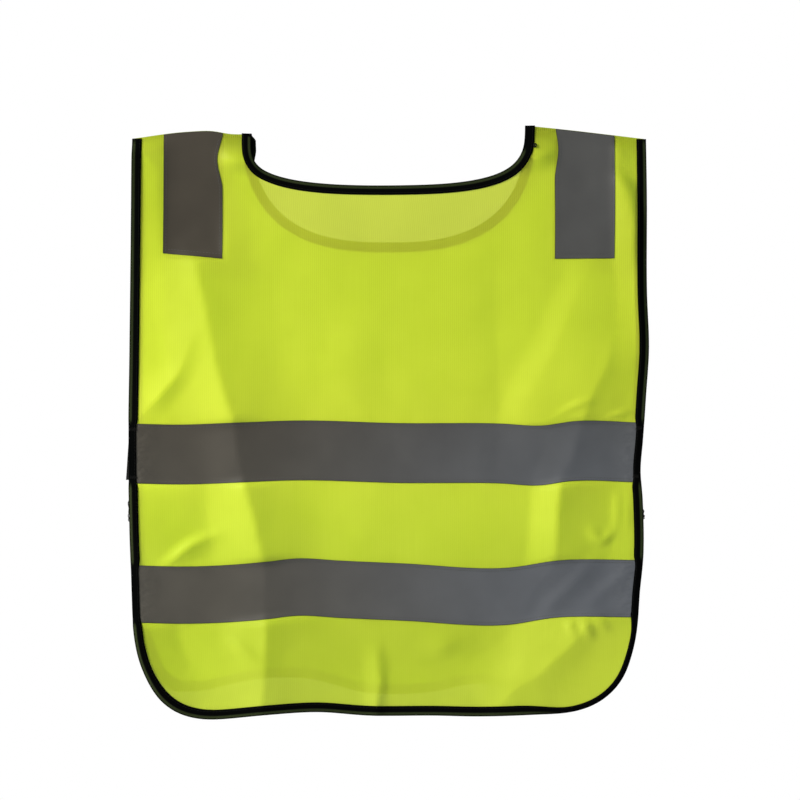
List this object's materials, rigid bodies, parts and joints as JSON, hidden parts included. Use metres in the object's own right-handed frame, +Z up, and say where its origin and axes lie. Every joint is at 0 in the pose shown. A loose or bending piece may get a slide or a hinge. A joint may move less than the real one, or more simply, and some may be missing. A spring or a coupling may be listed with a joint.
{
  "type": "high visibility vest",
  "caption": "Pull-over tabard in see-through yellow knit with grey reflective tapes, black bound edges, sloping shoulder seams and side elastics.",
  "frame": {"origin": "middle of the shoulder line, level with the two neck points, where the vest hangs from shoulders or a hanger", "axes": "+Z up, +X to the right as the back panel is seen, +Y from the back panel to the front panel"},
  "size_m": [0.437, 0.0487, 0.4981],
  "materials": {
    "knit": "fluorescent yellow warp-knit polyester, fine upright ribs, slightly see-through",
    "tape": "grey glass-bead retroreflective tape, matt and even away from the light's direction",
    "binding": "black woven polyester binding",
    "elastic": "black braided elastic",
    "thread": "spun polyester sewing thread"
  },
  "bodies": {
    "back": {"back_panel": "knit", "back_neck_binding": "binding", "back_edge_binding": "binding", "back_upper_tape": "tape", "back_lower_tape": "tape", "back_left_shoulder_tape": "tape", "back_right_shoulder_tape": "tape", "left_side_elastic": "elastic", "right_side_elastic": "elastic", "back_elastic_tacks": "thread", "back_tape_thread": "thread", "back_binding_thread": "thread", "left_shoulder_seam": "knit", "right_shoulder_seam": "knit", "shoulder_seam_thread": "thread"},
    "front": {"front_panel": "knit", "front_neck_binding": "binding", "front_edge_binding": "binding", "front_upper_tape": "tape", "front_lower_tape": "tape", "front_left_shoulder_tape": "tape", "front_right_shoulder_tape": "tape", "front_elastic_tacks": "thread", "front_tape_thread": "thread", "front_binding_thread": "thread"}
  },
  "joints": [
    {"name": "front_panel_swing", "type": "hinge", "parent": "back", "child": "front", "pos_m": [0, 0, 0], "axis": [1, 0, 0], "range_deg": [-4.4, 28], "deforming": ["left_side_elastic", "right_side_elastic"]}
  ]
}
